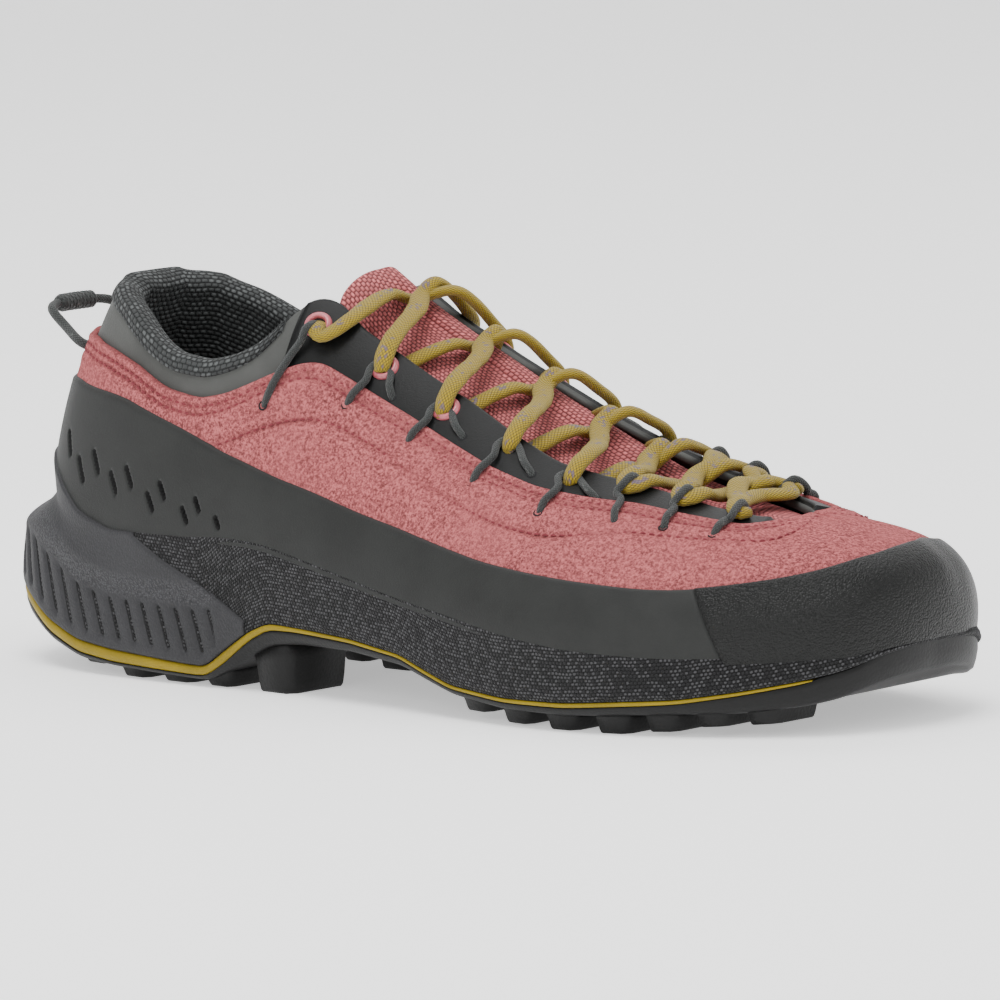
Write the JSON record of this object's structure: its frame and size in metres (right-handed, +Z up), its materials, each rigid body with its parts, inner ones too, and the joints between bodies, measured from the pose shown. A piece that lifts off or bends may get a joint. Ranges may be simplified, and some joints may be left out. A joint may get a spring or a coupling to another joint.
{
  "type": "approach shoe",
  "caption": "Low-cut lace-up approach shoe for the right foot: suede and smooth panels on a cupped foam midsole, rubber toe cap and lugged outsole.",
  "frame": {"origin": "centre of the shoe's footprint box, on the ground plane that its lugs stand on", "axes": "+X from the heel to the toe, +Y towards the inner (medial) side of the foot, +Z up from the ground"},
  "size_m": [0.2778, 0.0996, 0.1042],
  "materials": {
    "midsole_foam": "matt foam, wrapped in woven-look mesh",
    "cradle_foam": "matt foam, finely stippled",
    "accent_foam": "matt mustard foam",
    "outsole_rubber": "matt black rubber",
    "insole_cloth": "matt knitted cloth",
    "smooth_synthetic": "smooth satin synthetic leather",
    "rose_suede": "napped suede",
    "rand_synthetic": "smooth satin coated leather",
    "toe_rubber": "grained satin rubber",
    "lining_knit": "dark knit with light flecks",
    "tongue_mesh": "rose air mesh",
    "eyelet_plastic": "rose plastic",
    "loop_cord": "braided dark cord",
    "lace_cord": "braided mustard lace with dark flecks"
  },
  "bodies": {
    "root": {"midsole": "midsole_foam", "heel_cradle": "cradle_foam", "sole_accent": "accent_foam", "outsole": "outsole_rubber", "insole": "insole_cloth", "upper": "smooth_synthetic", "suede_overlay": "rose_suede", "rand": "rand_synthetic", "toe_cap": "toe_rubber", "eyestay_outer": "smooth_synthetic", "eyestay_inner": "smooth_synthetic", "collar_lining": "lining_knit", "tongue": "tongue_mesh", "eyelet_outer_1": "eyelet_plastic", "eyelet_outer_2": "eyelet_plastic", "eyelet_outer_3": "eyelet_plastic", "eyelet_inner_1": "eyelet_plastic", "eyelet_inner_2": "eyelet_plastic", "eyelet_inner_3": "eyelet_plastic", "lace_loop_outer_1": "loop_cord", "lace_loop_outer_2": "loop_cord", "lace_loop_outer_3": "loop_cord", "lace_loop_outer_4": "loop_cord", "lace_loop_outer_5": "loop_cord", "lace_loop_outer_6": "loop_cord", "lace_loop_outer_7": "loop_cord", "lace_loop_outer_8": "loop_cord", "lace_loop_inner_1": "loop_cord", "lace_loop_inner_2": "loop_cord", "lace_loop_inner_3": "loop_cord", "lace_loop_inner_4": "loop_cord", "lace_loop_inner_5": "loop_cord", "lace_loop_inner_6": "loop_cord", "lace_loop_inner_7": "loop_cord", "lace_loop_inner_8": "loop_cord", "lace": "lace_cord", "heel_loop": "loop_cord"}
  },
  "joints": []
}
